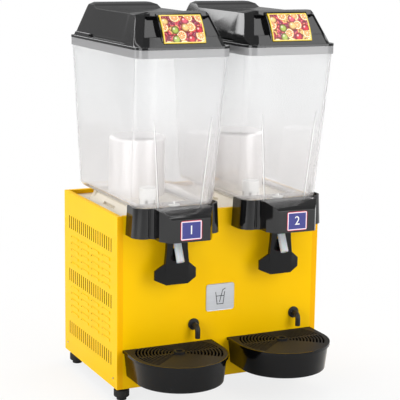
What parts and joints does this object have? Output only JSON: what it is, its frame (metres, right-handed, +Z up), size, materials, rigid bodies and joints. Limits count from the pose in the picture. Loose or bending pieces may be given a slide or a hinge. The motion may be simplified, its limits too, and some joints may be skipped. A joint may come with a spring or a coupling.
{
  "type": "cold drink dispenser",
  "caption": "Countertop cold drink dispenser: yellow cabinet, clear tanks side by side with black lids, lever taps with spouts, and D-shaped drip trays.",
  "frame": {"origin": "on the countertop, under the middle of the box round the whole machine", "axes": "+Z up, +X to the right and -Y towards the person who faces the taps"},
  "size_m": [0.4032, 0.4192, 0.693],
  "materials": {
    "yellow_paint": "semi-gloss yellow enamel on sheet steel",
    "galvanised_steel": "zinc-coated sheet steel",
    "beige_plastic": "satin moulded plastic",
    "black_rubber": "matt rubber",
    "pale_rubber": "matt silicone rubber",
    "stainless_steel": "satin stainless steel",
    "white_plastic": "smooth moulded plastic",
    "black_plastic": "fine-grained plastic",
    "rubber_hose": "smooth hose",
    "copper": "drawn copper tube",
    "black_enamel": "black enamel",
    "aluminium_fins": "mill finish",
    "badge_metal": "brushed plate",
    "clear_plastic": "clear polycarbonate",
    "black_gloss": "high gloss",
    "printed_card": "glossy print",
    "blue_label": "glossy print",
    "frosted_plastic": "translucent tube"
  },
  "bodies": {
    "cabinet": {"tank_gaskets": "pale_rubber", "evaporators": "stainless_steel", "pump_housings": "white_plastic", "pump_motors": "black_enamel", "drain_elbows": "black_plastic", "base_pan": "galvanised_steel", "corner_posts": "galvanised_steel", "left_side_panel": "yellow_paint", "right_side_panel": "yellow_paint", "front_panel": "yellow_paint", "back_panel": "yellow_paint", "top_plate": "beige_plastic", "levelling_feet": "black_rubber", "panel_screws": "stainless_steel", "badge": "badge_metal", "tray_brackets": "galvanised_steel", "drain_hoses": "rubber_hose", "cooling_coils": "copper", "compressor": "black_enamel", "condenser": "aluminium_fins", "fan_bracket": "galvanised_steel", "fan_motor": "black_enamel", "refrigerant_pipes": "copper", "control_box": "galvanised_steel", "switch_frames": "black_plastic", "mains_inlet": "black_plastic"},
    "left_tank_body": {"left_tank": "clear_plastic", "left_tap_cover": "black_gloss", "left_tap_label": "blue_label", "left_lever_pin": "stainless_steel", "left_tap_spring": "stainless_steel", "left_spout": "frosted_plastic"},
    "left_lid_body": {"left_lid": "black_gloss", "left_picture_panel": "printed_card"},
    "left_lever_body": {"left_tap_lever": "black_gloss"},
    "left_valve_body": {"left_tap_valve": "white_plastic"},
    "left_impeller_body": {"left_pump_impeller": "white_plastic"},
    "left_magnet_body": {"left_drive_magnet": "black_enamel"},
    "left_tray_body": {"left_drip_tray": "black_gloss"},
    "left_grid_body": {"left_drip_grid": "black_gloss"},
    "left_knob_body": {"left_thermostat_knob": "black_plastic"},
    "left_pump_switch_body": {"left_pump_switch": "black_plastic"},
    "right_tank_body": {"right_tank": "clear_plastic", "right_tap_cover": "black_gloss", "right_tap_label": "blue_label", "right_lever_pin": "stainless_steel", "right_tap_spring": "stainless_steel", "right_spout": "frosted_plastic"},
    "right_lid_body": {"right_lid": "black_gloss", "right_picture_panel": "printed_card"},
    "right_lever_body": {"right_tap_lever": "black_gloss"},
    "right_valve_body": {"right_tap_valve": "white_plastic"},
    "right_impeller_body": {"right_pump_impeller": "white_plastic"},
    "right_magnet_body": {"right_drive_magnet": "black_enamel"},
    "right_tray_body": {"right_drip_tray": "black_gloss"},
    "right_grid_body": {"right_drip_grid": "black_gloss"},
    "right_knob_body": {"right_thermostat_knob": "black_plastic"},
    "right_pump_switch_body": {"right_pump_switch": "black_plastic"},
    "power_switch_body": {"power_switch": "black_plastic"},
    "fan_body": {"fan": "black_plastic"}
  },
  "joints": [
    {"name": "left_tank_lift", "type": "slide", "parent": "cabinet", "child": "left_tank_body", "axis": [0, 0, 1], "range_m": [0, 0.12]},
    {"name": "left_lid_lift", "type": "slide", "parent": "left_tank_body", "child": "left_lid_body", "axis": [0, 0, 1], "range_m": [0, 0.1]},
    {"name": "left_lever_swing", "type": "hinge", "parent": "left_tank_body", "child": "left_lever_body", "pos_m": [-0.1025, -0.10665, 0.325], "axis": [1, 0, 0], "range_deg": [0, 15], "stiffness_Nm_per_rad": 0.5, "springref_deg": -8.59, "deforming": ["left_tap_spring"]},
    {"name": "left_valve_lift", "type": "slide", "parent": "left_tank_body", "child": "left_valve_body", "axis": [0, 0, 1], "range_m": [0, 0.0042]},
    {"name": "left_magnet_spin", "type": "hinge", "parent": "cabinet", "child": "left_magnet_body", "pos_m": [-0.1275, -0.03465, 0.335], "axis": [0, 0, 1], "continuous": true},
    {"name": "left_impeller_spin", "type": "hinge", "parent": "cabinet", "child": "left_impeller_body", "pos_m": [-0.1275, -0.03465, 0.354], "axis": [0, 0, 1], "continuous": true},
    {"name": "left_tray_slide", "type": "slide", "parent": "cabinet", "child": "left_tray_body", "axis": [0, -1, 0], "range_m": [0, 0.15]},
    {"name": "left_grid_lift", "type": "slide", "parent": "left_tray_body", "child": "left_grid_body", "axis": [0, 0, 1], "range_m": [0, 0.006]},
    {"name": "left_thermostat_turn", "type": "hinge", "parent": "cabinet", "child": "left_knob_body", "pos_m": [-0.12, 0.19535, 0.28], "axis": [0, 1, 0], "range_deg": [0, 270]},
    {"name": "left_pump_switch_rock", "type": "hinge", "parent": "cabinet", "child": "left_pump_switch_body", "pos_m": [0, 0.19385, 0.28], "axis": [1, 0, 0], "range_deg": [-20, 0]},
    {"name": "right_tank_lift", "type": "slide", "parent": "cabinet", "child": "right_tank_body", "axis": [0, 0, 1], "range_m": [0, 0.12]},
    {"name": "right_lid_lift", "type": "slide", "parent": "right_tank_body", "child": "right_lid_body", "axis": [0, 0, 1], "range_m": [0, 0.1]},
    {"name": "right_lever_swing", "type": "hinge", "parent": "right_tank_body", "child": "right_lever_body", "pos_m": [0.1025, -0.10665, 0.325], "axis": [1, 0, 0], "range_deg": [0, 15], "stiffness_Nm_per_rad": 0.5, "springref_deg": -8.59, "deforming": ["right_tap_spring"]},
    {"name": "right_valve_lift", "type": "slide", "parent": "right_tank_body", "child": "right_valve_body", "axis": [0, 0, 1], "range_m": [0, 0.0042]},
    {"name": "right_magnet_spin", "type": "hinge", "parent": "cabinet", "child": "right_magnet_body", "pos_m": [0.0775, -0.03465, 0.335], "axis": [0, 0, 1], "continuous": true},
    {"name": "right_impeller_spin", "type": "hinge", "parent": "cabinet", "child": "right_impeller_body", "pos_m": [0.0775, -0.03465, 0.354], "axis": [0, 0, 1], "continuous": true},
    {"name": "right_tray_slide", "type": "slide", "parent": "cabinet", "child": "right_tray_body", "axis": [0, -1, 0], "range_m": [0, 0.15]},
    {"name": "right_grid_lift", "type": "slide", "parent": "right_tray_body", "child": "right_grid_body", "axis": [0, 0, 1], "range_m": [0, 0.006]},
    {"name": "right_thermostat_turn", "type": "hinge", "parent": "cabinet", "child": "right_knob_body", "pos_m": [0.12, 0.19535, 0.28], "axis": [0, 1, 0], "range_deg": [0, 270]},
    {"name": "right_pump_switch_rock", "type": "hinge", "parent": "cabinet", "child": "right_pump_switch_body", "pos_m": [0.05, 0.19385, 0.28], "axis": [1, 0, 0], "range_deg": [-20, 0]},
    {"name": "power_switch_rock", "type": "hinge", "parent": "cabinet", "child": "power_switch_body", "pos_m": [-0.05, 0.19385, 0.28], "axis": [1, 0, 0], "range_deg": [-20, 0]},
    {"name": "fan_spin", "type": "hinge", "parent": "cabinet", "child": "fan_body", "pos_m": [0.113, 0.05735, 0.107], "axis": [1, 0, 0], "continuous": true}
  ],
  "couplings": [
    {"joint": "left_valve_lift", "follows": "left_lever_swing", "m_per_rad": 0.0155},
    {"joint": "left_impeller_spin", "follows": "left_magnet_spin", "ratio": 1},
    {"joint": "right_valve_lift", "follows": "right_lever_swing", "m_per_rad": 0.0155},
    {"joint": "right_impeller_spin", "follows": "right_magnet_spin", "ratio": 1}
  ]
}
